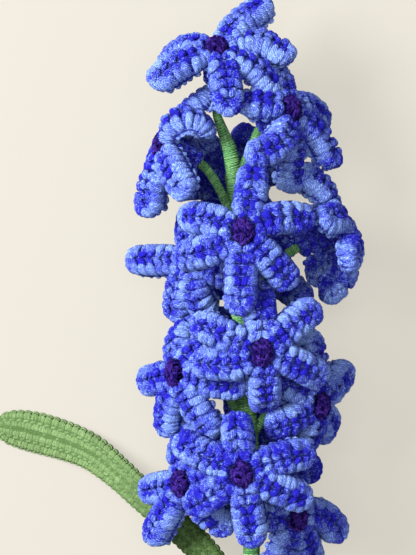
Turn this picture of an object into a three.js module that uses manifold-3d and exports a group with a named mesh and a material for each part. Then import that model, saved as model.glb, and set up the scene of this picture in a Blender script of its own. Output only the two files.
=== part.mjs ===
// A crocheted hyacinth, lying on its back: a thread-wrapped wire stalk along +Y with sixteen blue
// florets round it, each with six recurved petals on a short tube and a purple knot in its mouth,
// and one green strap leaf that leaves the stalk below the florets.
// Millimetres. +Z is up, away from the surface that the flower lies on.
import * as THREE from "three";
import Module from "manifold-3d";

const wasm = await Module();
wasm.setup();

// Driving dimensions
const restHeight = 38.5; // the stalk's centre line in the head, above the surface
const outlineCentre = { x: -28.1, y: 176.4 }; // middle of the outline on the surface, from the cut end
const gap = 0.35; // clearance kept between touching pieces

const petal = {
  length: 28,
  halfWidth: 6.8,
  thickness: 5,
  rootShare: 0.5, // width at the root, as a share of the full width
  spreadEnd: 0.35, // share of the length by which it reaches the full width
  tipStart: 0.76, // share of the length where the round tip begins
  startRadius: 2.2, // where its centre line starts, from the floret's middle
  startDepth: 2.1, // below the floret's face
  rise: 10, // degrees above the face at the root
  turning: 60, // degrees that it bends back over its length
  cup: 0.36, // how far the edges drop back, as a share of the half width
};
const tube = { length: 16, backRadius: 3.3, mouthRadius: 5.2, sides: 8 };
const knot = { radius: 5.0, stretch: 1.22, height: 3.6, sides: 10, lobes: 5, lobeDepth: 0.09 };
const pedicel = { radius: 1.8, footPull: 0.35, tipPull: 0.22, sides: 6, steps: 5 };
const stalkSides = 10;
const stalkSteps = 24;
const leaf = { thickness: 2.6, crown: 0.16, steps: 22 };

// The stalk's centre line from its cut end up to the top floret, with its radius at each point.
// x and y are from the cut end, and z from the centre line's height in the head.
const stalkRoute = [
  { at: [-2, 0, -35.7], radius: 3.0 },
  { at: [-1.5, 18, -32.6], radius: 3.0 },
  { at: [0, 45, -23], radius: 3.0 },
  { at: [1.2, 75, -9.5], radius: 3.05 },
  { at: [2, 104, -1.6], radius: 3.1 },
  { at: [2.6, 130, 0], radius: 3.3 },
  { at: [2.4, 160, 0], radius: 3.3 },
  { at: [1.4, 178, 0], radius: 3.8 },
  { at: [0.2, 196, 0], radius: 3.8 },
  { at: [-1.4, 214, 0], radius: 3.2 },
  { at: [-2.8, 236, 0], radius: 2.6 },
  { at: [-3.8, 256, 0], radius: 2.5 },
  { at: [-4.3, 272, 0], radius: 2.3 },
  { at: [-4.6, 282, 0.3], radius: 2.8 },
  { at: [-5.6, 290, 0.8], radius: 3.0 },
  { at: [-8, 297.5, 1.4], radius: 2.3 },
  { at: [-11, 305, 1.8], radius: 1.75 },
];

// Each floret: its face's middle, the way it faces (turn about the stalk from +Z towards +X, and
// lift towards the tip), where its pedicel leaves the stalk (and which way, where that isn't
// straight up it), and its petals. A petal is given by
// the way it leaves the middle (degrees from the right-hand side, anticlockwise as seen from in
// front), then, where it isn't the usual, how far it bends back, how far it swings sideways along
// its length (+ is anticlockwise), its rise at the root, how far it is twisted towards its tip,
// and its length.
const florets = [
  {
    name: "top",
    face: [-11.5, 331.5, 12],
    turn: 3,
    lift: 50,
    petals: [
      [203, 60, 0, 10, -35],
      [286, 85, -16],
      [335, 75],
      [33, 62, -85, 25, 0, 32],
      [55, 35, -25, 35, 0, 31],
      [145, 95],
    ],
  },
  {
    name: "left_1",
    face: [-32.2, 294.3, 5.1],
    turn: -68,
    lift: 26,
    leaves: 262,
    starts: [-0.35, 0.95, 0.3],
    petals: [
      [266, 45, 0, 10, -50],
      [318, 70],
      [45, 225, 20, 65, 0, 29],
      [85, 55],
      [150, 95, 0, 10, 0, 24],
      [205, 90],
    ],
  },
  {
    name: "right_1",
    face: [17.5, 307.5, 13],
    turn: 45,
    lift: 22,
    leaves: 284,
    starts: [1, 0.2, -0.2],
    petals: [
      [338, 27, -65, 10, 0, 30],
      [22, 48, -60, 10, 0, 27],
      [80, 60],
      [154, 100, 0, 10, 0, 18.5],
      [256, 60, -90, 10, 0, 30],
      [288, 30, -20, -15, 0, 31],
    ],
  },
  {
    name: "front_2",
    face: [-1.3, 258.8, 36],
    turn: 0,
    lift: 4,
    leaves: 226,
    petals: [
      [155, 80, 22, 10, 0, 26.5],
      [75, 75, 15],
      [30, 60, -45],
      [314, 60],
      [268, 25, 0, 10, 0, 30.5],
      [215, 58, -38],
    ],
  },
  {
    name: "right_2",
    face: [38, 261, 0],
    turn: 105,
    lift: 25,
    tube: 19,
    leaves: 228,
    petals: [
      [88, 92, 0, 34, -85],
      [160, 100, 0, 20],
      [205, 90, 0, 22],
      [262, 120, 0, 15, -50, 31],
      [310, 110, 0, 10, 0, 26],
      [25, 85],
    ],
  },
  {
    name: "left_2",
    face: [-21.5, 248.5, 5],
    turn: -35,
    lift: 12,
    leaves: 220,
    starts: [-0.3, 1, 0],
    petals: [
      [180, 20, 0, 10, 0, 30],
      [240, 72, 0, 10, 0, 26],
      [272, 100, 0, 10, 0, 24],
      [340, 110],
      [45, 100],
      [115, 80],
    ],
  },
  {
    name: "front_3",
    face: [6, 212, 35],
    turn: 6,
    lift: -3,
    leaves: 178,
    petals: [[155, 45], [210, 75, -55], [278, 100], [346, 60, -25], [43, 50, -14], [90, 80]],
  },
  {
    name: "left_3",
    face: [-27.2, 203.3, 12],
    turn: -50,
    lift: 0,
    leaves: 180,
    starts: [-0.6, 0.85, 0.1],
    petals: [[190, 38, 0, 10, 0, 26], [238, 45], [300, 50], [348, 90], [48, 100], [112, 105]],
  },
  {
    name: "right_3",
    face: [29, 190.5, 12],
    turn: 48,
    lift: -3,
    leaves: 172,
    petals: [
      [32, 35, 0, 10, 0, 24.5],
      [88, 50],
      [145, 110],
      [206, 75, 0, 10, 0, 22],
      [276, 100, 0, 10, 0, 24],
      [325, 82, 0, 10, 0, 26],
    ],
  },
  {
    name: "front_4",
    face: [-1.7, 165.6, 37],
    turn: -3,
    lift: -4,
    leaves: 132,
    petals: [[98, 100, 0, 10, 0, 24], [156, 58], [217, 80], [278, 42], [335, 55], [24, 60, -25]],
  },
  {
    name: "left_4",
    face: [-25, 159.4, 10],
    turn: -45,
    lift: 0,
    leaves: 126,
    petals: [
      [190, 38, 0, 10, 0, 26],
      [229, 28, 0, 10, 0, 31],
      [310, 75, 0, 10, 0, 25],
      [5, 110],
      [60, 100],
      [108, 80],
    ],
  },
  {
    name: "right_4",
    face: [20, 146, 10],
    turn: 35,
    lift: -5,
    leaves: 116,
    petals: [
      [14, 30, -85],
      [304, 55, 0, 10, 0, 30],
      [256, 50],
      [178, 105, 0, 10, 0, 24],
      [135, 110, 0, 10, 0, 24],
      [80, 100],
    ],
  },
  {
    name: "back_1",
    face: [-6, 282, -36],
    turn: 180,
    lift: 0,
    leaves: 254,
    petals: [
      [170, 110],
      [113, 110, 0, 10, 0, 27],
      [52, 110, 0, 10, 0, 24],
      [350, 110],
      [295, 110],
      [228, 110],
    ],
  },
  {
    name: "back_2",
    face: [8, 246, -36],
    turn: 180,
    lift: 0,
    leaves: 212,
    petals: [[221, 108], [132, 115], [80, 110], [30, 110], [335, 110], [277, 110]],
  },
  {
    name: "back_3",
    face: [-1, 207, -36],
    turn: 180,
    lift: 0,
    leaves: 172,
    petals: [[63, 110], [118, 110], [175, 110], [225, 110], [273, 98], [335, 110]],
  },
  {
    name: "back_4",
    face: [10, 165, -36],
    turn: 180,
    lift: 0,
    leaves: 132,
    petals: [[188, 110, 0, 10, 0, 25], [82, 110], [135, 110], [25, 110], [325, 110], [260, 110]],
  },
];

// The leaf's centre line from its base on the stalk out to its tip, with its half width at each
// point and how far its face leans over, in degrees.
const leafRoute = [
  { at: [-3.2, 92, -5.5], half: 2.2, lean: -70 },
  { at: [-4.4, 101, -6], half: 4, lean: -50 },
  { at: [-6.8, 111, -7], half: 5.4, lean: -30 },
  { at: [-11, 121.5, -9.5], half: 6.1, lean: -18 },
  { at: [-18.5, 131.5, -13], half: 6.2, lean: -12 },
  { at: [-29, 141, -18], half: 6.1, lean: -8 },
  { at: [-40.5, 150.5, -23], half: 6.1, lean: -6 },
  { at: [-52, 160.5, -28], half: 6.4, lean: -6 },
  { at: [-63.6, 169, -32.5], half: 7.3, lean: -5 },
  { at: [-76, 173.8, -35.4], half: 8.1, lean: -2 },
  { at: [-88.5, 177.2, -36.6], half: 8.3, lean: 0 },
  { at: [-97.5, 179, -36.4], half: 6.6, lean: 0 },
  { at: [-103.3, 180, -35.8], half: 3, lean: 0 },
];

const radians = Math.PI / 180;
const vector = (p) => new THREE.Vector3(...p);

// A closed solid from rings of points, each ring in the same order, with a fan over both ends.
function loft(rings) {
  const sides = rings[0].length;
  const points = rings.flat();
  const faces = [];
  for (let r = 0; r + 1 < rings.length; r += 1) {
    for (let i = 0; i < sides; i += 1) {
      const a = r * sides + i;
      const b = r * sides + ((i + 1) % sides);
      faces.push(a, b, b + sides, a, b + sides, a + sides);
    }
  }
  const last = (rings.length - 1) * sides;
  for (let i = 1; i + 1 < sides; i += 1) {
    faces.push(0, i + 1, i);
    faces.push(last, last + i, last + i + 1);
  }
  return solid(points, faces);
}

function solid(points, faces) {
  const made = (triVerts) =>
    new wasm.Manifold(
      new wasm.Mesh({
        numProp: 3,
        vertProperties: new Float32Array(points.flatMap((p) => [p.x, p.y, p.z])),
        triVerts: new Uint32Array(triVerts),
      }),
    );
  const first = made(faces);
  if (first.volume() > 0) return first;
  const turned = [];
  for (let i = 0; i < faces.length; i += 3) turned.push(faces[i], faces[i + 2], faces[i + 1]);
  return made(turned);
}

// The axes of a floret: out of its face, up the stalk along its face, and to the right.
function faceAxes(floret) {
  const turn = floret.turn * radians;
  const lift = floret.lift * radians;
  const out = new THREE.Vector3(
    Math.sin(turn) * Math.cos(lift),
    Math.sin(lift),
    Math.cos(turn) * Math.cos(lift),
  );
  const up = new THREE.Vector3(0, 1, 0).addScaledVector(out, -out.y).normalize();
  const right = new THREE.Vector3().crossVectors(up, out);
  return { middle: vector(floret.face), out, up, right };
}

// Half the petal's width at a share of its length: narrow at the root, round at the tip.
function petalHalfWidth(share) {
  const spread = 1 - (1 - Math.min(share / petal.spreadEnd, 1)) ** 1.4;
  const past = Math.max(0, (share - petal.tipStart) / (1 - petal.tipStart));
  const full = petal.rootShare + (1 - petal.rootShare) * spread;
  return petal.halfWidth * full * Math.sqrt(1 - 0.9 * past * past);
}

// The petal's centre line, walked in short straight steps, with the way it runs at each of them.
function petalLine(axes, spec) {
  const [degrees, turning = petal.turning, swing = 0, rise = petal.rise, twist = 0] = spec;
  const length = spec[5] ?? petal.length;
  const steps = 50;
  const line = [];
  const at = axes.middle
    .clone()
    .addScaledVector(axes.right, petal.startRadius * Math.cos(degrees * radians))
    .addScaledVector(axes.up, petal.startRadius * Math.sin(degrees * radians))
    .addScaledVector(axes.out, -petal.startDepth);
  for (let k = 0; k <= steps; k += 1) {
    const share = k / steps;
    const way = (degrees + swing * share) * radians;
    const climb = (rise - turning * share) * radians;
    const level = axes.right.clone().multiplyScalar(Math.cos(way)).addScaledVector(axes.up, Math.sin(way));
    const along = level.multiplyScalar(Math.cos(climb)).addScaledVector(axes.out, Math.sin(climb));
    const across = axes.up.clone().multiplyScalar(Math.cos(way)).addScaledVector(axes.right, -Math.sin(way));
    across.applyAxisAngle(along, twist * share * radians);
    const outward = new THREE.Vector3().crossVectors(along, across);
    line.push({ at: at.clone(), along, across, outward });
    at.addScaledVector(along, length / steps);
  }
  return line;
}

// Where a petal's rings stand along its length: closer together where it curls right over.
const openShares = [0, 0.22, 0.46, 0.7, 0.88, 1];
const curledShares = [0, 0.12, 0.24, 0.36, 0.48, 0.6, 0.72, 0.84, 0.93, 1];

function petalSolid(axes, spec, grow) {
  const line = petalLine(axes, spec);
  const section = [
    [-1, 0],
    [-0.6, 1],
    [0, 0.75],
    [0.6, 1],
    [1, 0],
    [0.55, -1],
    [-0.55, -1],
  ];
  const curled = (spec[1] ?? petal.turning) > 150;
  const rings = (curled ? curledShares : openShares).map((share) => {
    const { at, along, across, outward } = line[Math.round(share * (line.length - 1))];
    const half = petalHalfWidth(share);
    const thick = (petal.thickness / 2) * (share === 1 ? 0.7 : 1) + grow;
    return section.map(([side, face]) =>
      at
        .clone()
        .addScaledVector(along, share === 1 ? grow : 0)
        .addScaledVector(across, side * (half + grow))
        .addScaledVector(outward, face * thick - petal.cup * half * side * side),
    );
  });
  return loft(rings);
}

// Rings of a round piece about the floret's own axis, from [radius, height] pairs.
function turnedSolid(axes, profile, sides, shape) {
  return loft(
    profile.map(([radius, height]) =>
      Array.from({ length: sides }, (_, i) => {
        const angle = (i / sides) * 2 * Math.PI;
        const r = radius * (shape ? shape(angle) : 1);
        return axes.middle
          .clone()
          .addScaledVector(axes.right, r * Math.cos(angle))
          .addScaledVector(axes.up, r * Math.sin(angle) * (shape ? knot.stretch : 1))
          .addScaledVector(axes.out, height);
      }),
    ),
  );
}

const tubeLength = (floret) => floret.tube ?? tube.length;

function bloomSolid(floret, grow) {
  const axes = faceAxes(floret);
  const body = turnedSolid(
    axes,
    [
      [tube.backRadius + grow, -tubeLength(floret) - grow],
      [tube.backRadius + 0.8 + grow, -tubeLength(floret) * 0.55],
      [tube.mouthRadius + grow, -3],
      [tube.mouthRadius - 0.3 + grow, -0.35 + grow],
    ],
    tube.sides,
  );
  return floret.petals.reduce(
    (whole, spec) => whole.add(petalSolid(axes, spec, grow)),
    body,
  );
}

function knotSolid(floret, grow) {
  const { radius, height, sides, lobes, lobeDepth } = knot;
  return turnedSolid(
    faceAxes(floret),
    [
      [radius * 0.9 + grow, -grow],
      [radius + grow, height * 0.3],
      [radius * 0.8 + grow, height * 0.75 + grow],
      [radius * 0.35 + grow, height + grow],
    ],
    sides,
    (angle) => 1 + lobeDepth * Math.cos(lobes * angle),
  );
}

// A round rod along a curve, with its radii given at equal shares of the curve's own parameter.
function rod(curve, radii, sides, steps, grow) {
  const frames = curve.computeFrenetFrames(steps, false);
  const rings = frames.tangents.map((_, k) => {
    const centre = curve.getPointAt(k / steps);
    const place = curve.getUtoTmapping(k / steps) * (radii.length - 1);
    const low = Math.min(Math.floor(place), radii.length - 2);
    const radius = THREE.MathUtils.lerp(radii[low], radii[low + 1], place - low) + grow;
    return Array.from({ length: sides }, (__, i) => {
      const angle = (i / sides) * 2 * Math.PI;
      return centre
        .clone()
        .addScaledVector(frames.normals[k], radius * Math.cos(angle))
        .addScaledVector(frames.binormals[k], radius * Math.sin(angle));
    });
  });
  return loft(rings);
}

// The point on the stalk's centre line at a distance along Y.
function stalkPoint(y) {
  const k = stalkRoute.findIndex((p) => p.at[1] > y);
  const [a, b] = [stalkRoute[k - 1], stalkRoute[k]];
  return vector(a.at).lerp(vector(b.at), (y - a.at[1]) / (b.at[1] - a.at[1]));
}

// It leaves the stalk close to the stalk's own direction and comes into the tube from behind.
function pedicelSolid(floret, grow) {
  const axes = faceAxes(floret);
  const tip = axes.middle.clone().addScaledVector(axes.out, -tubeLength(floret) - gap);
  const foot = stalkPoint(floret.leaves);
  const span = foot.distanceTo(tip);
  const curve = new THREE.CubicBezierCurve3(
    foot,
    foot.clone().addScaledVector(vector(floret.starts ?? [0, 1, 0]), span * pedicel.footPull),
    tip.clone().addScaledVector(axes.out, span * -pedicel.tipPull),
    tip,
  );
  return rod(curve, [pedicel.radius, pedicel.radius], pedicel.sides, pedicel.steps, grow);
}

function stalkSolid(grow) {
  const top = faceAxes(florets[0]);
  const tip = top.middle.clone().addScaledVector(top.out, -tubeLength(florets[0]) - gap);
  const points = [...stalkRoute.map((p) => vector(p.at)), tip];
  const radii = [...stalkRoute.map((p) => p.radius), 1.7];
  const curve = new THREE.CatmullRomCurve3(points, false, "centripetal");
  const main = rod(curve, radii, stalkSides, stalkSteps, grow);
  return florets
    .filter((f) => f.leaves)
    .reduce((whole, floret) => whole.add(pedicelSolid(floret, grow)), main);
}

function leafSolid(grow) {
  const curve = new THREE.CatmullRomCurve3(leafRoute.map((p) => vector(p.at)), false, "centripetal");
  const rings = Array.from({ length: leaf.steps + 1 }, (_, k) => {
    const centre = curve.getPointAt(k / leaf.steps);
    const tangent = curve.getTangentAt(k / leaf.steps);
    const place = curve.getUtoTmapping(k / leaf.steps) * (leafRoute.length - 1);
    const low = Math.min(Math.floor(place), leafRoute.length - 2);
    const mix = (key) =>
      THREE.MathUtils.lerp(leafRoute[low][key], leafRoute[low + 1][key], place - low);
    const half = mix("half") + grow;
    const level = new THREE.Vector3(0, 0, 1).cross(tangent).normalize();
    const across = level.applyAxisAngle(tangent, mix("lean") * radians);
    const outward = new THREE.Vector3().crossVectors(tangent, across);
    const thick = leaf.thickness / 2 + grow;
    const section = [
      [-1, 0],
      [-0.75, 1],
      [0, 1],
      [0.75, 1],
      [1, 0],
      [0.75, -1],
      [0, -1],
      [-0.75, -1],
    ];
    return section.map(([side, face]) =>
      centre
        .clone()
        .addScaledVector(across, side * half)
        .addScaledVector(outward, face * thick - leaf.crown * half * side * side),
    );
  });
  return loft(rings);
}

// The surface presses flat what would reach below it.
function pressedFlat(whole) {
  const slab = new THREE.BoxGeometry(600, 900, 100).toNonIndexed();
  const corners = new Map();
  const points = [];
  const faces = [];
  const place = slab.getAttribute("position");
  for (let i = 0; i < place.count; i += 1) {
    const p = new THREE.Vector3().fromBufferAttribute(place, i);
    const key = p.toArray().join();
    if (!corners.has(key)) corners.set(key, points.push(p) - 1);
    faces.push(corners.get(key));
  }
  const below = solid(points, faces).translate([0, 0, -restHeight - 50]);
  return whole.subtract(below);
}

function largest(whole) {
  return whole.decompose().sort((a, b) => b.volume() - a.volume())[0];
}

function meshOf(name, whole, look) {
  const { vertProperties, triVerts } = whole.getMesh();
  const geometry = new THREE.BufferGeometry();
  geometry.setAttribute("position", new THREE.BufferAttribute(vertProperties, 3));
  geometry.setIndex(new THREE.BufferAttribute(triVerts, 1));
  const mesh = new THREE.Mesh(geometry, look);
  mesh.name = name;
  return mesh;
}

const petalYarn = new THREE.MeshStandardMaterial({ color: 0x4a63e0, roughness: 0.9, metalness: 0 });
const knotYarn = new THREE.MeshStandardMaterial({ color: 0x3c1a72, roughness: 0.92, metalness: 0 });
const stalkThread = new THREE.MeshStandardMaterial({ color: 0x3f7a3a, roughness: 0.8, metalness: 0 });
const leafYarn = new THREE.MeshStandardMaterial({ color: 0x78ad5c, roughness: 0.9, metalness: 0 });

// The stalk and the leaf come first, then the florets, each cut clear of what it would press into.
const placed = [{ make: stalkSolid, whole: stalkSolid(0) }];
const flower = new THREE.Group();
flower.add(meshOf("stalk", pressedFlat(placed[0].whole), stalkThread));

function place(name, make, look) {
  let whole = make(0);
  for (const other of placed) {
    if (whole.intersect(other.grown ?? other.make(gap)).volume() > 0) {
      other.grown ??= other.make(gap);
      whole = largest(whole.subtract(other.grown));
    }
  }
  whole = largest(pressedFlat(whole));
  placed.push({ make, whole });
  flower.add(meshOf(name, whole, look));
}

place("leaf", leafSolid, leafYarn);
for (const floret of florets) {
  place(`knot_${floret.name}`, (grow) => knotSolid(floret, grow), knotYarn);
}
for (const floret of florets) {
  place(`petals_${floret.name}`, (grow) => bloomSolid(floret, grow), petalYarn);
}

flower.position.set(-outlineCentre.x, -outlineCentre.y, restHeight);
const part = new THREE.Group();
part.add(flower);
export default part;
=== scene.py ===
import math

import bpy
import numpy as np
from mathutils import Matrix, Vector


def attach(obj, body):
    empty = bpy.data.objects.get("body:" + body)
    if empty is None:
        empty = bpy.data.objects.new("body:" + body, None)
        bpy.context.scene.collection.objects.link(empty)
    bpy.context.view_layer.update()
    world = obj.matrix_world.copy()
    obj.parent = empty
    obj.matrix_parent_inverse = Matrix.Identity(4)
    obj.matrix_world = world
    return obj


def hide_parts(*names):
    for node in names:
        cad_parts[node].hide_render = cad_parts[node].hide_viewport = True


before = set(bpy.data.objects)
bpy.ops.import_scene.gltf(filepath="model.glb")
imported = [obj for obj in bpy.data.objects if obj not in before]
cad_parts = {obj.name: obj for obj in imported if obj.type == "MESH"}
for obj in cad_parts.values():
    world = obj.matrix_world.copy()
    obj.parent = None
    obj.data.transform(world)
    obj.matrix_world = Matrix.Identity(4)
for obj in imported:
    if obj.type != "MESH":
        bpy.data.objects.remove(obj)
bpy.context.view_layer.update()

# A crocheted hyacinth, lying on its back. Everything is worked out in millimetres, with x and y
# from the stalk's cut end and z from the stalk's centre line in the head, as the part's source is.
lie = {"centre": (-28.1, 176.4), "height": 38.5, "press": 0.5}
luck = np.random.default_rng(41)


def toFrame(points):
    # from millimetres on the stalk to metres in the frame, pressed soft against the surface
    out = np.empty_like(points)
    out[..., :2] = points[..., :2] - lie["centre"]
    height = points[..., 2] + lie["height"]
    press = lie["press"]
    pressed = press * np.exp((np.minimum(height, press) - press) / press)
    out[..., 2] = np.where(height < press, pressed, height)
    return out * 0.001


def unit(vectors):
    return vectors / np.linalg.norm(vectors, axis=-1, keepdims=True)


# The camera: far above the flower, looking straight down, with the stalk running up the picture
shot = {
    "centre": (-14.8, 241.0), "height": 1000.0, "pixelSize": 0.4, "pixelsHigh": 555,
    "sensor": 36.0, "near": 0.05, "far": 20,
}


def setCamera():
    data = bpy.data.cameras.new("camera")
    camera = bpy.data.objects.new("camera", data)
    bpy.context.collection.objects.link(camera)
    camera.location = toFrame(np.array([*shot["centre"], shot["height"]]))
    data.sensor_width = shot["sensor"]
    data.lens = shot["sensor"] * shot["height"] / (shot["pixelSize"] * shot["pixelsHigh"])
    data.clip_start = shot["near"]
    data.clip_end = shot["far"]
    bpy.context.scene.camera = camera


setCamera()
print("camera set")


# Materials
class Wire:
    # a socket that Python's own operators work on
    def __init__(self, look, socket):
        self.look = look
        self.socket = socket

    def maths(self, operation, first, second=None):
        return self.look.node("ShaderNodeMath", {"operation": operation}, {0: first, 1: second})

    def __add__(self, other):
        return self.maths("ADD", self, other)

    def __radd__(self, other):
        return self.maths("ADD", other, self)

    def __sub__(self, other):
        return self.maths("SUBTRACT", self, other)

    def __mul__(self, other):
        return self.maths("MULTIPLY", self, other)

    def __pow__(self, other):
        return self.maths("POWER", self, other)

    def sine(self):
        return self.maths("SINE", self)

    def size(self):
        return self.maths("ABSOLUTE", self)


class Look:
    # a material with the Principled shader, and one method that adds any node
    def __init__(self, name, **sockets):
        self.material = bpy.data.materials.new(name)
        self.material.use_nodes = True
        self.tree = self.material.node_tree
        self.shader = self.tree.nodes["Principled BSDF"]
        for socket, value in sockets.items():
            self.shader.inputs[socket.replace("_", " ")].default_value = value

    def node(self, kind, settings=None, values=None, output=0):
        made = self.tree.nodes.new(kind)
        for key, value in (settings or {}).items():
            setattr(made, key, value)
        for key, value in (values or {}).items():
            if isinstance(value, Wire):
                self.tree.links.new(value.socket, made.inputs[key])
            elif value is not None:
                made.inputs[key].default_value = value
        return Wire(self, made.outputs[output])

    def mix(self, factor, first, second):
        return self.node("ShaderNodeMix", {"data_type": "RGBA"}, {0: factor, 6: first, 7: second}, 2)

    def clamp(self, wire):
        return self.node("ShaderNodeClamp", {}, {"Value": wire})

    def parts(self, wire):
        made = self.tree.nodes.new("ShaderNodeSeparateXYZ")
        self.tree.links.new(wire.socket, made.inputs[0])
        return [Wire(self, out) for out in made.outputs]

    def feed(self, wire, socket):
        self.tree.links.new(wire.socket, self.shader.inputs[socket])


def rgb(red, green, blue):
    # a colour as it is seen on screen, 0 to 255, in the linear values that the shader takes
    seen = np.array([red, green, blue]) / 255
    linear = np.where(seen <= 0.04045, seen / 12.92, ((seen + 0.055) / 1.055) ** 2.4)
    return (*linear, 1.0)


# What all the yarns share. A pair is the brightness where a pattern is nought, and what it adds.
yarnStyle = {
    "roughness": 0.9, "gloss": 0.03, "sheen": 0.03,
    "fibre": {"Scale": 1300.0, "Detail": 3.0}, "patch": {"Scale": 480.0, "Detail": 2.0},
    "plyPower": 0.8, "plyMiddle": 0.65, "plyFleck": 0.3, "patchFleck": 0.9, "curl": 9.0,
    "shadeGain": 1.1, "shadeLoss": 0.19,
    # plyLit and curlLit are painted shade: they mix the colour towards the shade colour in the grooves
    # between plies and along fine fibre lines; toneLit is each strand's own random tone.
    "plyLit": (0.5, 0.6), "curlLit": (0.62, 0.48), "toneLit": (0.88, 0.12), "curlBump": 0.5,
}
# Each yarn's low and high colours, and the colour of its painted shade in hollows, gaps and ply grooves
yarns = {
    "petals": {
        "name": "petalYarn", "low": (38, 33, 180), "high": (149, 182, 250), "paintedShade": (19, 12, 148),
        "twist": 8, "stray": 2.6, "relief": 0.0005, "fleck": 1.4,
    },
    "knots": {
        "name": "knotYarn", "low": (20, 8, 82), "high": (82, 52, 166), "paintedShade": (4, 1, 20),
        "twist": 8, "stray": 2.6, "relief": 0.0005, "fleck": 1.0,
    },
    "stalk": {
        "name": "stemThread", "low": (86, 146, 88), "high": (152, 198, 135), "paintedShade": (30, 66, 40),
        "twist": 6, "stray": 1.0, "relief": 0.0003, "fleck": 1.0,
    },
    "leaf": {
        "name": "leafYarn", "low": (36, 54, 25), "high": (114, 138, 92), "paintedShade": (80, 106, 62),
        "twist": 6, "stray": 2.0, "relief": 0.00012, "fleck": 0.6,
    },
}


def yarnLook(yarn):
    # Yarn of twisted plies. The attribute "yarn" holds how much of the high colour a place has, how much of
    # its own colour shows against the painted shade colour of its hollows and gaps, and a tone of its own.
    # The map runs round the yarn, by one for each ply, and along it in centimetres.
    style = yarnStyle
    high = rgb(*yarn["high"])
    look = Look(
        yarn["name"], Roughness=style["roughness"], Specular_IOR_Level=style["gloss"],
        Sheen_Weight=style["sheen"], Sheen_Tint=high,
    )
    around, along, _ = look.parts(look.node("ShaderNodeUVMap", {"uv_map": "run"}))
    held = look.node("ShaderNodeAttribute", {"attribute_name": "yarn"}, output=1)
    shade, unshaded, tone = look.parts(held)
    place = look.node("ShaderNodeTexCoord", output=3)
    fibre = look.node("ShaderNodeTexNoise", {}, {"Vector": place, **style["fibre"]})
    patch = look.node("ShaderNodeTexNoise", {}, {"Vector": place, **style["patch"]})

    turn = around + along * yarn["twist"] + (patch - 0.5) * yarn["stray"]
    ply = (turn * math.pi).sine().size() ** style["plyPower"]
    curl = look.clamp((fibre - 0.5).size() * style["curl"])
    flecks = (ply - style["plyMiddle"]) * style["plyFleck"] + (fibre - 0.5)
    flecks = flecks + (patch - 0.5) * style["patchFleck"]
    amount = shade * style["shadeGain"] - style["shadeLoss"] + flecks * yarn["fleck"]
    colour = look.mix(look.clamp(amount), rgb(*yarn["low"]), high)
    pairs = ((ply, "plyLit"), (curl, "curlLit"), (tone, "toneLit"))
    plyLit, curlLit, toneLit = (style[key][0] + wire * style[key][1] for wire, key in pairs)
    # painted shade: the colour is mixed towards the shade colour in hollows, gaps, ply grooves and fibre
    # lines
    look.feed(look.mix(unshaded * (plyLit * curlLit * toneLit), rgb(*yarn["paintedShade"]), colour), "Base Color")
    relief = {"Strength": 1.0, "Distance": yarn["relief"], "Height": ply + curl * style["curlBump"]}
    look.feed(look.node("ShaderNodeBump", {}, relief), "Normal")
    return look.material


looks = {key: yarnLook(yarn) for key, yarn in yarns.items()}
print("materials made")


# One bead of yarn and one turn of thread, modelled once and copied. firstRing and ringSpan say
# where the bead's rings stand along it, and blunt how full its ends are.
beadShape = {
    "sides": 8, "rings": 6, "blunt": 0.5, "firstRing": 0.07, "ringSpan": 0.86, "flat": 0.78,
    "plyWidth": 1.05,
}
threadShape = {"stops": 12, "sides": 4, "thick": 0.2}


def modelled(name, add, **settings):
    bpy.ops.object.select_all(action="DESELECT")
    add(**settings)
    shape = bpy.context.object
    shape.name = name
    mesh = shape.data
    found = {
        "places": np.array([v.co for v in mesh.vertices]),
        "corners": np.array([loop.vertex_index for loop in mesh.loops]),
        "totals": np.array([face.loop_total for face in mesh.polygons]),
        "run": np.array([loop.uv for loop in mesh.uv_layers.active.data]),
    }
    bpy.data.objects.remove(shape)
    return found


bead = modelled(
    "bead",
    bpy.ops.mesh.primitive_uv_sphere_add,
    segments=beadShape["sides"],
    ring_count=beadShape["rings"],
    radius=1,
)
beadWay = np.arccos(np.clip(bead["places"][:, 2], -1, 1)) / math.pi
beadStops = np.unique(np.round(beadWay, 4))
bead["stop"] = np.searchsorted(beadStops, np.round(beadWay, 4))
bead["angle"] = np.arctan2(bead["places"][:, 1], bead["places"][:, 0])
bead["share"] = np.sin(beadWay * math.pi) ** beadShape["blunt"]
beadStops = beadStops * beadShape["ringSpan"] + beadShape["firstRing"]
beadStops[0], beadStops[-1] = 0.0, 1.0

thread = modelled(
    "threadTurn",
    bpy.ops.mesh.primitive_torus_add,
    major_segments=threadShape["stops"],
    minor_segments=threadShape["sides"],
    major_radius=1,
    minor_radius=threadShape["thick"],
    generate_uvs=True,
)
print("bead and thread turn modelled")


def copied(shape, count):
    # the corners and faces of so many copies of a shape, numbered one after the other
    corners = shape["corners"][None] + np.arange(count)[:, None] * len(shape["places"])
    return {"corners": corners.ravel(), "totals": np.tile(shape["totals"], count)}


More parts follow.
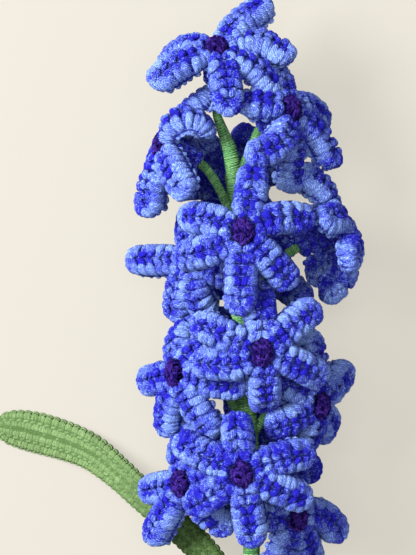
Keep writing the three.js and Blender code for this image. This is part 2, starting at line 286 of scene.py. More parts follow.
def strands(paths, radii, surface, colours, flat=beadShape["flat"]):
    # Lays one bead along each path: three control points each, in the surface's own directions.
    # surface gives the place and the outward direction of such points.
    stops = beadStops[None, :, None]
    first, middle, last = (paths[:, None, k] for k in range(3))
    points = (1 - stops) ** 2 * first + 2 * stops * (1 - stops) * middle + stops**2 * last
    centres, outward = surface(points)
    ways = unit(np.gradient(centres, axis=1))
    across = unit(np.cross(ways, outward))
    rise = np.cross(across, ways)
    stop = bead["stop"]
    reach = (radii[:, None] * bead["share"][None, :])[..., None]
    cos, sin = np.cos(bead["angle"])[None, :, None], np.sin(bead["angle"])[None, :, None]
    places = centres[:, stop] + reach * (cos * across[:, stop] + flat * sin * rise[:, stop])
    count = len(paths)
    lengths = np.linalg.norm(np.diff(centres, axis=1), axis=2).sum(1)
    run = np.repeat(bead["run"][None], count, 0)
    run[..., 1] = run[..., 1] * lengths[:, None] / 10 + luck.random((count, 1))
    run[..., 0] *= np.round(2 * math.pi * radii / beadShape["plyWidth"])[:, None]
    yarn = colours[:, stop].reshape(-1, 3)
    return {**copied(bead, count), "places": places.reshape(-1, 3), "run": run.reshape(-1, 2), "yarn": yarn}


# The solids under the yarn: how much high colour each has, how much of its own colour shows against
# painted shade (the knots' core is almost all painted shade, dark in the gaps between loops), and its tone
under = {
    "petals": (0.3, 0.9, 0.5), "knots": (0.0, 0.1, 0.3), "stalk": (0.3, 0.6, 0.4), "leaf": (0.2, 0.5, 0.4),
    "knotSize": 0.7, "mergeWithin": 1e-6, "mapScale": 0.15,
}


def solidUnder(node, colour, size=1.0):
    # a copy of the CAD solid, its corners merged, as the body that the yarn lies on
    bpy.ops.object.select_all(action="DESELECT")
    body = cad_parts[node].copy()
    body.data = body.data.copy()
    bpy.context.collection.objects.link(body)
    bpy.context.view_layer.objects.active = body
    body.select_set(True)
    bpy.ops.object.mode_set(mode="EDIT")
    bpy.ops.mesh.select_all(action="SELECT")
    bpy.ops.mesh.remove_doubles(threshold=under["mergeWithin"])
    bpy.ops.object.mode_set(mode="OBJECT")
    mesh = body.data
    places = np.array([v.co for v in mesh.vertices]) * 1000
    places += np.array([*lie["centre"], -lie["height"]])
    middle = (places.min(0) + places.max(0)) / 2
    places = middle + (places - middle) * size
    corners = np.array([loop.vertex_index for loop in mesh.loops])
    totals = np.array([face.loop_total for face in mesh.polygons])
    bpy.data.objects.remove(body)
    bpy.data.meshes.remove(mesh)
    return {
        "places": places,
        "corners": corners,
        "totals": totals,
        "run": places[corners][:, :2] * under["mapScale"],
        "yarn": np.repeat(np.array([colour]), len(places), 0),
    }


def pieceOf(name, parts, material, node):
    # one mesh from all the parts, in place of its CAD node
    offset = 0
    corners = []
    for part in parts:
        corners.append(part["corners"] + offset)
        offset += len(part["places"])
    corners = np.concatenate(corners)
    places, totals, run, yarn = (
        np.concatenate([part[key] for part in parts]) for key in ("places", "totals", "run", "yarn")
    )
    mesh = bpy.data.meshes.new(name)
    mesh.vertices.add(offset)
    mesh.vertices.foreach_set("co", toFrame(places).ravel())
    mesh.loops.add(len(corners))
    mesh.loops.foreach_set("vertex_index", corners)
    mesh.polygons.add(len(totals))
    mesh.polygons.foreach_set("loop_start", np.concatenate([[0], np.cumsum(totals)[:-1]]))
    mesh.polygons.foreach_set("loop_total", totals)
    mesh.update(calc_edges=True)
    mesh.uv_layers.new(name="run").data.foreach_set("uv", run.ravel())
    mesh.attributes.new("yarn", "FLOAT_VECTOR", "POINT").data.foreach_set("vector", yarn.ravel())
    mesh.shade_smooth()
    mesh.materials.append(looks[material])
    piece = bpy.data.objects.new(name, mesh)
    bpy.context.collection.objects.link(piece)
    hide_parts(node)
    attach(piece, "root")
    print(name, "triangles", int((totals - 2).sum()))


# Each floret: its face's middle, the way it faces (turn about the stalk and lift towards the tip),
# where its pedicel leaves the stalk, and its petals: the way each leaves the middle, how far it
# bends back, how far it swings sideways, its rise at the root, its twist, and its length.
florets = {
    "top": {
        "face": (-11.5, 331.5, 12), "turn": 3, "lift": 50,
        "petals": [(203, 60, 0, 10, -35), (286, 85, -16), (335, 75), (33, 62, -85, 25, 0, 32),
                   (55, 35, -25, 35, 0, 31), (145, 95)],
    },
    "left_1": {
        "face": (-32.2, 294.3, 5.1), "turn": -68, "lift": 26, "leaves": 262, "starts": (-0.35, 0.95, 0.3),
        "petals": [(266, 45, 0, 10, -50), (318, 70), (45, 225, 20, 65, 0, 29), (85, 55),
                   (150, 95, 0, 10, 0, 24), (205, 90)],
    },
    "right_1": {
        "face": (17.5, 307.5, 13), "turn": 45, "lift": 22, "leaves": 284, "starts": (1, 0.2, -0.2),
        "petals": [(338, 27, -65, 10, 0, 30), (22, 48, -60, 10, 0, 27), (80, 60),
                   (154, 100, 0, 10, 0, 18.5), (256, 60, -90, 10, 0, 30),
                   (288, 30, -20, -15, 0, 31)],
    },
    "front_2": {
        "face": (-1.3, 258.8, 36), "turn": 0, "lift": 4, "leaves": 226,
        "petals": [(155, 80, 22, 10, 0, 26.5), (75, 75, 15), (30, 60, -45), (314, 60),
                   (268, 25, 0, 10, 0, 30.5), (215, 58, -38)],
    },
    "right_2": {
        "face": (38, 261, 0), "turn": 105, "lift": 25, "tube": 19, "leaves": 228,
        "petals": [(88, 92, 0, 34, -85), (160, 100, 0, 20), (205, 90, 0, 22),
                   (262, 120, 0, 15, -50, 31), (310, 110, 0, 10, 0, 26), (25, 85)],
    },
    "left_2": {
        "face": (-21.5, 248.5, 5), "turn": -35, "lift": 12, "leaves": 220, "starts": (-0.3, 1, 0),
        "petals": [(180, 20, 0, 10, 0, 30), (240, 72, 0, 10, 0, 26), (272, 100, 0, 10, 0, 24),
                   (340, 110), (45, 100), (115, 80)],
    },
    "front_3": {
        "face": (6, 212, 35), "turn": 6, "lift": -3, "leaves": 178,
        "petals": [(155, 45), (210, 75, -55), (278, 100), (346, 60, -25), (43, 50, -14), (90, 80)],
    },
    "left_3": {
        "face": (-27.2, 203.3, 12), "turn": -50, "lift": 0, "leaves": 180, "starts": (-0.6, 0.85, 0.1),
        "petals": [(190, 38, 0, 10, 0, 26), (238, 45), (300, 50), (348, 90), (48, 100), (112, 105)],
    },
    "right_3": {
        "face": (29, 190.5, 12), "turn": 48, "lift": -3, "leaves": 172,
        "petals": [(32, 35, 0, 10, 0, 24.5), (88, 50), (145, 110), (206, 75, 0, 10, 0, 22),
                   (276, 100, 0, 10, 0, 24), (325, 82, 0, 10, 0, 26)],
    },
    "front_4": {
        "face": (-1.7, 165.6, 37), "turn": -3, "lift": -4, "leaves": 132,
        "petals": [(98, 100, 0, 10, 0, 24), (156, 58), (217, 80), (278, 42), (335, 55), (24, 60, -25)],
    },
    "left_4": {
        "face": (-25, 159.4, 10), "turn": -45, "lift": 0, "leaves": 126,
        "petals": [(190, 38, 0, 10, 0, 26), (229, 28, 0, 10, 0, 31), (310, 75, 0, 10, 0, 25),
                   (5, 110), (60, 100), (108, 80)],
    },
    "right_4": {
        "face": (20, 146, 10), "turn": 35, "lift": -5, "leaves": 116,
        "petals": [(14, 30, -85), (304, 55, 0, 10, 0, 30), (256, 50), (178, 105, 0, 10, 0, 24),
                   (135, 110, 0, 10, 0, 24), (80, 100)],
    },
    "back_1": {
        "face": (-6, 282, -36), "turn": 180, "lift": 0, "leaves": 254,
        "petals": [(170, 110), (113, 110, 0, 10, 0, 27), (52, 110, 0, 10, 0, 24), (350, 110),
                   (295, 110), (228, 110)],
    },
    "back_2": {
        "face": (8, 246, -36), "turn": 180, "lift": 0, "leaves": 212,
        "petals": [(221, 108), (132, 115), (80, 110), (30, 110), (335, 110), (277, 110)],
    },
    "back_3": {
        "face": (-1, 207, -36), "turn": 180, "lift": 0, "leaves": 172,
        "petals": [(63, 110), (118, 110), (175, 110), (225, 110), (273, 98), (335, 110)],
    },
    "back_4": {
        "face": (10, 165, -36), "turn": 180, "lift": 0, "leaves": 132,
        "petals": [(188, 110, 0, 10, 0, 25), (82, 110), (135, 110), (25, 110), (325, 110), (260, 110)],
    },
}
# A petal's lengths are in millimetres and its turns in degrees. steps, sidePoints and tipPoints say
# how finely it is worked out, and the rest are shares.
petal = {
    "length": 28, "halfWidth": 6.8, "rootShare": 0.5, "spreadEnd": 0.35, "spreadPower": 1.4,
    "tipStart": 0.76, "tipRound": 0.9, "startRadius": 2.2, "startDepth": 2.1, "rise": 10, "turning": 60,
    "cup": 0.36, "steps": 50, "edgeFrom": 0.1, "roundFrom": 0.84, "roundEnd": 1.01,
    "sidePoints": 40, "tipPoints": 31, "spineFrom": 0.08, "spineTo": 0.8,
}
# The shares of a stitch's three points run from the petal's spine, 0, out to its edge, 1, and their
# heights stand off its middle. soft and patch say how the two blues run into each other.
# Painted shade: the posts are mixed towards the shade colour at their inner ends by the spine, and the back
# rows and the spine's back row somewhat all along.
crochet = {
    "pitch": 3.9, "wobble": 0.32, "drift": 0.13, "uneven": 0.08, "thickness": 0.09, "lookAhead": 0.3,
    "patch": 0.3, "patchSize": 18, "soft": 0.33, "ragged": 0.08,
    "post": {
        "shares": (0.16, 0.76, 0.93), "spreads": (0.04, 0.2, 0.18), "yarn": 1.62,
        "heights": (2.4, 5.6, -1.9), "unshaded": (0.85, 0.15),
    },
    "rim": {
        "shares": (0.84, 0.94, 0.5), "light": 0.8, "yarn": 1.75, "heights": (-1.0, -2.2, -3.6),
        "unshaded": 1.0,
    },
    # painted shade: the back row is worked mostly in deep blue so that the petals' undersides look shaded
    "back": {
        "shares": (0.1, 0.5, 0.8), "light": 0.32, "yarn": 1.8, "heights": (-2.0, -4.2, -1.6),
        "unshaded": 0.85,
    },
    "spine": {
        "pitch": 3.8, "yarn": 1.48, "steps": (0.55, 0.05, -0.45), "sides": (0.05, 1.6, 3.5),
        "heights": (2.2, 3.9, 2.0), "length": 0.8, "unshaded": 0.95, "backUnshaded": 0.8,
        "light": 0.1, "lightSpread": 0.12, "lightDrift": 0.4,
    },
}
# How far out from the spine the deep blue reaches on each side of a petal, as a share: mostly from
# low to high, and now and then as far as deep. On the florets at the back it reaches further: painted
# shade for florets that lie in the head's shadow.
mood = {"low": 0.06, "high": 0.56, "deep": 0.8, "deepChance": 0.2, "backShadeDeeper": 0.6}


def faceAxes(floret):
    turn, lift = math.radians(floret["turn"]), math.radians(floret["lift"])
    out = np.array([math.sin(turn) * math.cos(lift), math.sin(lift), math.cos(turn) * math.cos(lift)])
    up = unit(np.array([0.0, 1.0, 0.0]) - out * out[1])
    return {"middle": np.array(floret["face"], float), "out": out, "up": up, "right": np.cross(up, out)}


def petalHalfWidth(share):
    spread = 1 - (1 - np.minimum(share / petal["spreadEnd"], 1)) ** petal["spreadPower"]
    past = np.maximum(0, (share - petal["tipStart"]) / (1 - petal["tipStart"]))
    full = petal["rootShare"] + (1 - petal["rootShare"]) * spread
    return petal["halfWidth"] * full * np.sqrt(np.maximum(0, 1 - petal["tipRound"] * past**2))


def petalLine(axes, spec):
    # the petal's centre line in short straight steps, with its directions at each of them
    usual = (0, petal["turning"], 0, petal["rise"], 0, petal["length"])
    way, turning, swing, rise, twist, length = (*spec, *usual[len(spec):])
    share = np.linspace(0, 1, petal["steps"] + 1)[:, None]
    heading = np.radians(way + swing * share)
    climb = np.radians(rise - turning * share)
    level = axes["right"] * np.cos(heading) + axes["up"] * np.sin(heading)
    along = level * np.cos(climb) + axes["out"] * np.sin(climb)
    across = axes["up"] * np.cos(heading) - axes["right"] * np.sin(heading)
    lean = np.radians(twist * share)
    across = across * np.cos(lean) + np.cross(along, across) * np.sin(lean)
    angle = math.radians(way)
    start = (
        axes["middle"]
        + petal["startRadius"] * (axes["right"] * math.cos(angle) + axes["up"] * math.sin(angle))
        - petal["startDepth"] * axes["out"]
    )
    steps = np.concatenate([[[0.0, 0.0, 0.0]], np.cumsum(along[:-1], 0)])
    return {
        "at": start + steps * length / petal["steps"], "along": along, "across": across,
        "outward": np.cross(along, across), "length": length,
    }


def petalSurface(line):
    # a place on the petal from how far along it is, how far to the side, and how far out of it
    def surface(points):
        share = np.clip(points[..., 0] / line["length"], 0, 1) * petal["steps"]
        low = np.minimum(share.astype(int), petal["steps"] - 1)
        rest = (share - low)[..., None]
        at, along, across, outward = (
            line[key][low] * (1 - rest) + line[key][low + 1] * rest
            for key in ("at", "along", "across", "outward")
        )
        past = np.maximum(points[..., 0:1] - line["length"], 0)
        side = points[..., 1:2]
        drop = petal["cup"] * side**2 / petal["halfWidth"]
        place = at + along * past + across * side + outward * (points[..., 2:3] - drop)
        tilt = unit(outward + across * 2 * petal["cup"] * side / petal["halfWidth"])
        return place, tilt

    return surface


def towardsSpine(points, share, length):
    foot = np.clip(points[:, 0], length * petal["spineFrom"], length * petal["spineTo"])
    spine = np.stack([foot, np.zeros(len(points))], 1)
    return spine + (points - spine) * share


def petalRow(length, pitch):
    # The stitches of one row round the petal's edge, from its root up one side, round the tip and
    # back down the other: each one's place, the way that the edge runs there, and their true pitch.
    along = np.linspace(petal["edgeFrom"], petal["roundFrom"], petal["sidePoints"])
    side = np.stack([along * length, petalHalfWidth(along)], 1)
    angle = np.radians(np.linspace(90, -90, petal["tipPoints"])[1:-1])
    reach = (petal["roundEnd"] - petal["roundFrom"]) * length
    tip = np.stack([petal["roundFrom"] * length + reach * np.cos(angle), side[-1, 1] * np.sin(angle)], 1)
    outline = np.concatenate([side, tip, side[::-1] * [1, -1]])
    run = np.concatenate([[0], np.cumsum(np.linalg.norm(np.diff(outline, axis=0), axis=1))])
    count = int(round(run[-1] / pitch))
    at = (np.arange(count) + 0.5 + luck.normal(0, crochet["uneven"], count)) / count * run[-1]
    edge, ahead = (
        np.stack([np.interp(at + step, run, outline[:, k]) for k in (0, 1)], 1)
        for step in (0, crochet["lookAhead"])
    )
    return edge, unit(ahead - edge), run[-1] / count


class Stitches:
    # the strands of one petal, gathered row by row until they are laid on it
    def __init__(self):
        self.paths, self.radii, self.shades, self.unshadedParts = [], [], [], []

    def add(self, points, row, shade, unshadedPart, face=1):
        count = len(points[0])
        wobbles = [luck.normal(0, crochet["wobble"], (count, 1)) for _ in row["heights"]]
        heights = [face * height + wobble for height, wobble in zip(row["heights"], wobbles)]
        self.paths.append(np.stack([np.concatenate([p, h], 1) for p, h in zip(points, heights)], 1))
        self.radii.append(row["yarn"] * (1 + luck.normal(0, crochet["thickness"], count)))
        self.shades.append(np.broadcast_to(shade, (count, len(beadStops))))
        # painted shade: each bead's share of its own colour against the shade colour
        self.unshadedParts.append(np.broadcast_to(unshadedPart, (count, len(beadStops))))

    def laid(self, surface):
        shades = np.concatenate(self.shades)
        tones = np.repeat(luck.random((len(shades), 1)), shades.shape[1], 1)
        colours = np.stack([shades, np.concatenate(self.unshadedParts), tones], 2)
        return strands(np.concatenate(self.paths), np.concatenate(self.radii), surface, colours)


def patchWaves(along, phase, more):
    return np.sin(along / crochet["patchSize"] * 2 * math.pi + phase + more)


def edgeStitches(stitches, length, reaches, phase):
    # the posts across the petal's face, two bowed strands each, the turns over its edge, and the
    # posts on its back
    edge, way, pitch = petalRow(length, crochet["pitch"])
    noise = luck.normal(0, crochet["ragged"], len(edge))
    patches = patchWaves(edge[:, 0], phase[0], np.sign(edge[:, 1]) * phase[1])
    limit = np.where(edge[:, 1] > 0, reaches[0], reaches[1]) + crochet["patch"] * patches + noise

    def lightAt(share):
        # light yarn towards the edge and deep yarn towards the spine, in drifting patches
        return 1 / (1 + np.exp(-(share - limit[:, None]) / crochet["soft"]))

    def drifted(share, spread=0):
        drift = luck.normal(0, crochet["drift"], (len(edge), 1))
        return towardsSpine(edge, share, length) + way * pitch * (spread + drift)

    post = crochet["post"]
    stops = beadStops[None, :]
    low, high = post["shares"][0], post["shares"][2]
    light = lightAt(low + (high - low) * stops)
    # painted shade, deepest at the posts' inner ends by the spine
    inner, more = post["unshaded"]
    for side in (-1, 1):
        points = [drifted(share, side * spread) for share, spread in zip(post["shares"], post["spreads"])]
        stitches.add(points, post, light, inner + more * np.minimum(1, stops * 2))
    for row in (crochet["rim"], crochet["back"]):
        points = [drifted(share) for share in row["shares"]]
        stitches.add(points, row, lightAt(row["light"]), row["unshaded"])


def spineStitches(stitches, length, phase):
    # the open stitches down the petal's middle, and one plain row behind them
    spine = crochet["spine"]
    links = int(round(length * spine["length"] / spine["pitch"]))
    step = length * spine["length"] / links
    at = length * petal["spineFrom"] + (np.arange(links) + 0.5) * step
    deep = luck.normal(spine["light"], spine["lightSpread"], (links, 1))
    deep = deep + spine["lightDrift"] * np.maximum(0, patchWaves(at, phase[0], 1)[:, None])
    rows = ((-1, 1, spine["unshaded"]), (1, 1, spine["unshaded"]), (0, -1, spine["backUnshaded"]))
    for side, face, unshaded in rows:
        places = zip(spine["steps"], spine["sides"])
        points = [np.stack([at + step * ahead, np.full(links, side * width)], 1) for ahead, width in places]
        stitches.add(points, spine, deep, unshaded, face)


def petalStrands(axes, spec, reaches):
    line = petalLine(axes, spec)
    phase = luck.uniform(0, 2 * math.pi, 2)
    stitches = Stitches()
    edgeStitches(stitches, line["length"], reaches, phase)
    spineStitches(stitches, line["length"], phase)
    return stitches.laid(petalSurface(line))


def evenColours(shade, unshaded):
    # one colour for each strand, with its share of painted shade, and a tone of its own
    count = len(shade)
    colours = np.stack([shade, np.full(count, unshaded), luck.random(count)], 1)
    return np.repeat(colours[:, None], len(beadStops), 1)


# The tube behind a floret's face. A leg's three points: how far up its row each one is, how far it
# spreads towards the next stitch, and how far out of the tube it stands.
tube = {
    "length": 16, "backRadius": 3.3, "mouthRadius": 5.2, "flare": 1.5, "rows": 5, "around": 8,
    "mouthGap": 0.5, "yarn": 1.15, "leg": ((-0.05, 0.1, 0.1), (0.45, 0.55, 1.0), (1.1, 0.5, 0.2)),
    "light": 0.35, "deepShare": 0.1, "unshaded": 0.8,
}


def tubeStrands(axes, length, deep):
    rows, around = tube["rows"], tube["around"]
    row = np.repeat(np.arange(rows), around)
    angles = (np.tile(np.arange(around), rows) + 0.5 * (row % 2)) / around * 2 * math.pi
    step = (length - tube["mouthGap"]) / rows
    low = -length + row * step

    def surface(points):
        # a place round the tube from its angle, its height along it, and how far out it is
        angle, height, lift = points[..., 0:1], points[..., 1:2], points[..., 2:3]
        way = axes["right"] * np.cos(angle) + axes["up"] * np.sin(angle)
        return axes["middle"] + axes["out"] * height + way * lift, np.broadcast_to(way, points.shape)

    def legPoint(side, part, spread, lift):
        height = low + part * step
        share = np.clip((height + length) / length, 0, 1) ** tube["flare"]
        radius = tube["backRadius"] + (tube["mouthRadius"] - tube["backRadius"]) * share + lift
        return np.stack([angles + side * spread * math.pi / around, height, radius], 1)

    legs = [np.stack([legPoint(side, *point) for point in tube["leg"]], 1) for side in (-1, 1)]
    paths = np.concatenate(legs)
    shade = luck.uniform(0.0, tube["light"], len(paths)) + tube["deepShare"] * deep
    # painted shade over the whole tube
    colours = evenColours(shade, tube["unshaded"])
    return strands(paths, np.full(len(paths), tube["yarn"]), surface, colours)


# Loops of thinner yarn, sewn every way over a low dome. Each loop dips under the dome at its ends
# and stands off it in its middle.
knot = {
    "radius": 4.3, "stretch": 1.34, "height": 3.6, "loops": 52, "yarn": 0.58, "loopLength": 4.0,
    "turn": 137.5, "wander": 0.2, "spread": 0.86, "bend": 0.7, "dip": -0.4, "stand": 2.4,
    "outward": 0.12, "upward": 0.28, "light": 0.9,
}


def faced(points, axes):
    # from across, up and out of a floret's face to the directions of the stalk
    return sum(points[..., k:k + 1] * axes[key] for k, key in enumerate(("right", "up", "out")))


def knotStrands(axes):
    count = knot["loops"]
    size = np.array([knot["radius"], knot["radius"] * knot["stretch"], knot["height"]])

    def surface(points):
        return axes["middle"] + faced(points, axes), unit(faced(points / size**2, axes))

    def onDome(flat, lift):
        distance = np.linalg.norm(flat, axis=1, keepdims=True)
        flat = np.where(distance > 1, flat / distance, flat)
        rise = np.sqrt(np.maximum(0, 1 - np.minimum(distance, 1) ** 2))
        return np.concatenate([flat * (1 + knot["outward"] * lift), rise + knot["upward"] * lift], 1) * size

    spread = np.sqrt((np.arange(count) + 0.5) / count)
    angle = np.arange(count) * math.radians(knot["turn"]) + luck.normal(0, knot["wander"], count)
    centre = np.stack([np.cos(angle) * spread * knot["spread"], np.sin(angle) * spread * knot["spread"]], 1)
    heading = luck.uniform(0, math.pi, count)
    reach = knot["loopLength"] / 2 / knot["radius"]
    half = np.stack([np.cos(heading), np.sin(heading)], 1) * reach
    bend = np.stack([-half[:, 1], half[:, 0]], 1) * luck.uniform(-knot["bend"], knot["bend"], (count, 1))
    ends = [onDome(centre + side * half, knot["dip"]) for side in (-1, 1)]
    paths = np.stack([ends[0], onDome(centre + bend, knot["stand"]), ends[1]], 1)
    colours = evenColours(luck.uniform(0.0, knot["light"], count), 1.0)
    return strands(paths, np.full(count, knot["yarn"]), surface, colours)


def makeFloret(name, floret):
    axes = faceAxes(floret)
    shape = (len(floret["petals"]), 2)
    deep = luck.random(shape) < mood["deepChance"]
    reaches = np.where(deep, mood["deep"], luck.uniform(mood["low"], mood["high"], shape))
    # painted shade: the florets at the back get more deep blue
    if name.startswith("back"):
        reaches += mood["backShadeDeeper"]
    parts = [solidUnder("petals_" + name, under["petals"])]
    parts += [petalStrands(axes, spec, reaches[k]) for k, spec in enumerate(floret["petals"])]
    parts.append(tubeStrands(axes, floret.get("tube", tube["length"]), reaches[0][0]))
    pieceOf("yarn_petals_" + name, parts, "petals", "petals_" + name)
    parts = [solidUnder("knot_" + name, under["knots"], under["knotSize"]), knotStrands(axes)]
    pieceOf("yarn_knot_" + name, parts, "knots", "knot_" + name)


for name, floret in florets.items():
    makeFloret(name, floret)
print("florets made")


# The stalk and the florets' small stems, wound with thread. Each stop: its place and its radius.
stalkRoute = [
    (-2, 0, -35.7, 3.0), (-1.5, 18, -32.6, 3.0), (0, 45, -23, 3.0), (1.2, 75, -9.5, 3.05),
    (2, 104, -1.6, 3.1), (2.6, 130, 0, 3.3), (2.4, 160, 0, 3.3), (1.4, 178, 0, 3.8),
    (0.2, 196, 0, 3.8), (-1.4, 214, 0, 3.2), (-2.8, 236, 0, 2.6), (-3.8, 256, 0, 2.5),
    (-4.3, 272, 0, 2.3), (-4.6, 282, 0.3, 2.8), (-5.6, 290, 0.8, 3.0), (-8, 297.5, 1.4, 2.3),
    (-11, 305, 1.8, 1.75),
]
wrap = {
    "pitch": 1.0, "thread": 0.56, "sunk": 0.3, "tilt": 0.09, "skew": 0.045, "uneven": 0.012,
    "light": 0.5, "lightSpread": 0.16, "guide": (0.3, 0.0, 1.0), "topRadius": 1.7,
    "pedicel": 1.8, "pedicelSteps": 40, "footPull": 0.35, "tipPull": 0.22, "gap": 0.35,
}


def blend(first, second, start, end, at):
    # from first, where at is start, to second, where at is end
    return first * (end - at) / (end - start) + second * (at - start) / (end - start)


def smoothLine(points):
    # a centripetal curve through the points, with whatever else they hold carried along
    each = 12        # steps from one point to the next
    points = np.array(points, float)
    ends = [2 * points[0] - points[1], *points, 2 * points[-1] - points[-2]]
    out = []
    for a, b, c, d in zip(ends, ends[1:], ends[2:], ends[3:]):
        gaps = [np.linalg.norm((q - p)[:3]) ** 0.5 for p, q in ((a, b), (b, c), (c, d))]
        k0, k1, k2, k3 = np.cumsum([0.0] + gaps)
        at = np.linspace(k1, k2, each, endpoint=False)[:, None]
        ab, bc, cd = blend(a, b, k0, k1, at), blend(b, c, k1, k2, at), blend(c, d, k2, k3, at)
        out.append(blend(blend(ab, bc, k0, k2, at), blend(bc, cd, k1, k3, at), k1, k2, at))
    return np.concatenate([*out, points[-1:]])


def runAlong(line):
    return np.concatenate([[0], np.cumsum(np.linalg.norm(np.diff(line[:, :3], axis=0), axis=1))])


def wound(line):
    # thread turns side by side along a line of places and radii, each a little askew
    run = runAlong(line)
    at = np.arange(wrap["pitch"] / 2, run[-1], wrap["pitch"])
    spots = np.stack([np.interp(at, run, line[:, k]) for k in range(line.shape[1])], 1)
    count = len(spots)
    ways = unit(np.gradient(spots[:, :3], axis=0))
    side = unit(np.cross(ways, wrap["guide"]))
    skew = luck.normal(0, wrap["skew"], (count, 2))
    side = unit(side + ways * (wrap["tilt"] + skew[:, :1]))
    over = unit(np.cross(ways, side) + ways * skew[:, 1:])
    radius = spots[:, 3:4] * (1 + luck.normal(0, wrap["uneven"], (count, 1)))
    places = thread["places"]
    reach = np.hypot(places[:, 0], places[:, 1])
    cos, sin = places[:, 0] / reach, places[:, 1] / reach
    distance = radius - wrap["sunk"] + wrap["thread"] * (reach[None] - 1) / threadShape["thick"]
    around = cos[None, :, None] * side[:, None] + sin[None, :, None] * over[:, None]
    out = spots[:, None, :3] + distance[..., None] * around
    out += ways[:, None] * (places[:, 2] / threadShape["thick"] * wrap["thread"])[None, :, None]
    shade = np.clip(wrap["light"] + luck.normal(0, wrap["lightSpread"], (count, 1)), 0, 1)
    yarn = np.stack([shade, np.ones((count, 1)), luck.random((count, 1))], 2)
    return {
        **copied(thread, count),
        "places": out.reshape(-1, 3),
        "run": np.tile(thread["run"][:, ::-1], (count, 1)) * 2,
        "yarn": np.repeat(yarn, len(places), 1).reshape(-1, 3),
    }


def stalkPoint(height):
    route = np.array(stalkRoute, float)
    return np.array([np.interp(height, route[:, 1], route[:, k]) for k in range(3)])


def tubeEnd(floret):
    axes = faceAxes(floret)
    return axes["middle"] - axes["out"] * (floret.get("tube", tube["length"]) + wrap["gap"])


def pedicelLine(floret):
    tip = tubeEnd(floret)
    foot = stalkPoint(floret["leaves"])
    span = np.linalg.norm(tip - foot)
    starts = np.array(floret.get("starts", (0, 1, 0)))
    pulled = tip - faceAxes(floret)["out"] * span * wrap["tipPull"]
    hold = [foot, foot + starts * span * wrap["footPull"], pulled, tip]
    t = np.linspace(0, 1, wrap["pedicelSteps"])[:, None]
    weights = ((1 - t) ** 3, 3 * t * (1 - t) ** 2, 3 * t**2 * (1 - t), t**3)
    line = sum(weight * point for weight, point in zip(weights, hold))
    return np.concatenate([line, np.full((len(line), 1), wrap["pedicel"])], 1)


stalkLine = smoothLine([*stalkRoute, (*tubeEnd(florets["top"]), wrap["topRadius"])])
parts = [solidUnder("stalk", under["stalk"]), wound(stalkLine)]
parts += [wound(pedicelLine(floret)) for floret in florets.values() if "leaves" in floret]
pieceOf("wrapped_stalk", parts, "stalk", "stalk")
print("stalk wound")


# The leaf. Each stop: its place, its half width and its lean. The leaf is deep green by the stalk, where
# the flower head shades it, and grows lighter away from it: painted shadow, as the leaf's fade entries
# say at their distances.
leafRoute = [
    (-3.2, 92, -5.5, 2.2, -70), (-4.4, 101, -6, 4, -50), (-6.8, 111, -7, 5.4, -30),
    (-11, 121.5, -9.5, 6.1, -18), (-18.5, 131.5, -13, 6.2, -12), (-29, 141, -18, 6.1, -8),
    (-40.5, 150.5, -23, 6.1, -6), (-52, 160.5, -28, 6.4, -6), (-63.6, 169, -32.5, 7.3, -5),
    (-76, 173.8, -35.4, 8.1, -2), (-88.5, 177.2, -36.6, 8.3, 0), (-97.5, 179, -36.4, 6.6, 0),
    (-103.3, 180, -35.8, 3, 0),
]
leaf = {
    "crown": 0.16, "pitch": 2.9, "firstStitch": 0.6, "lastStitch": 0.4, "rows": 4, "rowsTo": 0.97,
    "thickness": 2.6, "faceShare": 0.75, "flat": 0.27, "uneven": 0.05,
    "leg": {"yarn": 1.15, "light": 0.45, "steps": (0.2, 0.7, 0.75), "rise": 1.2},
    "chain": {"yarn": 0.6, "light": 0.5, "reach": 0.55, "slant": 0.05, "rise": 1.4},
    "edge": {"yarn": 0.7, "light": 0.5, "reach": 0.6, "sides": (0.9, 1.0, 0.9), "heights": (0.9, 0.6, 0.4)},
    "shadowFadeAt": (30, 62, 72, 92, 120), "shadowFadeLight": (0.12, 0.3, 0.6, 0.76, 0.85),
    "lightShare": 0.4, "lightSpread": 0.08,
}


def leafSurface(line, run):
    ways = unit(np.gradient(line[:, :3], axis=0))
    level = unit(np.cross([0.0, 0.0, 1.0], ways))
    lean = np.radians(line[:, 4:5])
    across = level * np.cos(lean) + np.cross(ways, level) * np.sin(lean)
    table = np.concatenate([line[:, :4], across, np.cross(ways, across)], 1)

    def surface(points):
        # from the way along, the share of the half width to the side, and the height above
        got = np.stack([np.interp(points[..., 0], run, table[:, k]) for k in range(table.shape[1])], -1)
        half, side = got[..., 3:4], points[..., 1:2]
        across, outward = got[..., 4:7], got[..., 7:10]
        height = points[..., 2:3] - leaf["crown"] * half * side**2
        place = got[..., :3] + across * side * half + outward * height
        return place, unit(outward + across * 2 * leaf["crown"] * side)

    return surface


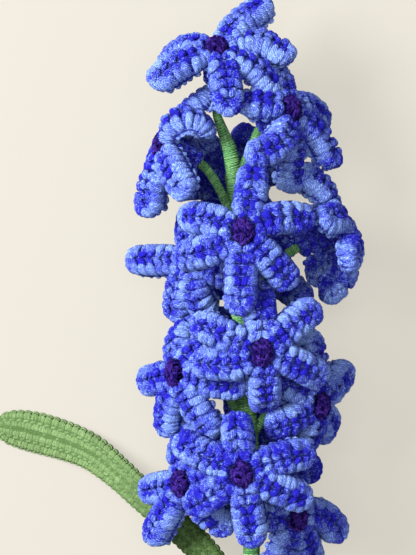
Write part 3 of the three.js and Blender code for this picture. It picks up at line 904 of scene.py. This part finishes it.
def leafStrands():
    line = smoothLine(leafRoute)
    run = runAlong(line)
    paths, radii, shades = [], [], []
    pitch = leaf["pitch"]
    at = np.arange(pitch * leaf["firstStitch"], run[-1] - pitch * leaf["lastStitch"], pitch)
    count = len(at)

    def add(ways, sides, heights, row):
        points = [np.stack(np.broadcast_arrays(*point), 1) for point in zip(ways, sides, heights)]
        paths.append(np.stack(points, 1))
        radii.append(np.full(count, row["yarn"]) * (1 + luck.normal(0, leaf["uneven"], count)))
        # painted shadow of the flower head: darker towards the stalk
        light = np.interp(ways[0], leaf["shadowFadeAt"], leaf["shadowFadeLight"])
        light = light + (row["light"] - 0.5) * leaf["lightShare"]
        shades.append(np.clip(light + luck.normal(0, leaf["lightSpread"], count), 0, 1))

    leg, chain, edge = leaf["leg"], leaf["chain"], leaf["edge"]
    bounds = np.linspace(-leaf["rowsTo"], leaf["rowsTo"], leaf["rows"] + 1)
    for top in (1, -1):
        face = top * leaf["thickness"] / 2 * leaf["faceShare"]
        for row, (low, high) in enumerate(zip(bounds, bounds[1:])):
            start = at + pitch * 0.5 * (row % 2)
            for lean in (-1, 1):
                ways = [start + lean * step for step in leg["steps"]]
                add(ways, (low, (low + high) / 2, high), (face, face * leg["rise"], face), leg)
        for side in bounds[1:-1]:
            ways = [at + pitch * chain["reach"] * end for end in (-1, 0, 1)]
            sides = [side + chain["slant"] * end for end in (-1, 0, 1)]
            add(ways, sides, (face, face * chain["rise"], face), chain)
    ways = [at + pitch * edge["reach"] * end for end in (-1, 0, 1)]
    for side in (-1, 1):
        for top in (1, -1):
            add(ways, [side * s for s in edge["sides"]], [top * h for h in edge["heights"]], edge)
    surface = leafSurface(line, run)
    colours = evenColours(np.concatenate(shades), 1.0)
    return strands(np.concatenate(paths), np.concatenate(radii), surface, colours, leaf["flat"])


parts = [solidUnder("leaf", under["leaf"]), leafStrands()]
pieceOf("crocheted_leaf", parts, "leaf", "leaf")
print("leaf made")


# The pale floor, which glows a little so that it stays even, and soft light from the upper left
stage = {
    "floorSize": 6.0, "floor": rgb(240, 235, 222), "paper": 0.12, "glow": 0.645, "roughness": 0.95,
    "room": 0.54, "roomColour": rgb(250, 250, 252),
    "lamps": {
        "key": {"at": (-0.76, 0.36, 0.85), "aim": (0.02, 0.06, 0.04), "size": 0.6, "power": 38.5},
        "fill": {"at": (0.0, 0.1, 1.4), "aim": (0.02, 0.04, 0.04), "size": 0.8, "power": 11.0},
    },
}


def layFloor():
    bpy.ops.object.select_all(action="DESELECT")
    bpy.ops.mesh.primitive_plane_add(size=stage["floorSize"], location=(0, 0, 0))
    floor = bpy.context.object
    floor.name = "floor"
    red, green, blue, _ = stage["floor"]
    dim = stage["paper"]
    look = Look(
        "floorPaper", Base_Color=(red * dim, green * dim, blue * dim, 1), Roughness=stage["roughness"],
        Emission_Color=stage["floor"], Emission_Strength=stage["glow"], Specular_IOR_Level=0.0,
    )
    floor.data.materials.append(look.material)


def lightRoom():
    world = bpy.data.worlds.new("softRoom")
    world.use_nodes = True
    sky = world.node_tree.nodes["Background"]
    sky.inputs["Color"].default_value = stage["roomColour"]
    sky.inputs["Strength"].default_value = stage["room"]
    bpy.context.scene.world = world
    for name, lamp in stage["lamps"].items():
        data = bpy.data.lights.new(name, "AREA")
        data.shape = "DISK"
        data.size = lamp["size"]
        data.energy = lamp["power"]
        light = bpy.data.objects.new(name, data)
        bpy.context.collection.objects.link(light)
        light.location = lamp["at"]
        aim = Vector(np.array(lamp["aim"]) - lamp["at"])
        light.rotation_euler = aim.to_track_quat("-Z", "Y").to_euler()
    bpy.context.scene.view_settings.view_transform = "Standard"


layFloor()
lightRoom()
print("floor and lights set")
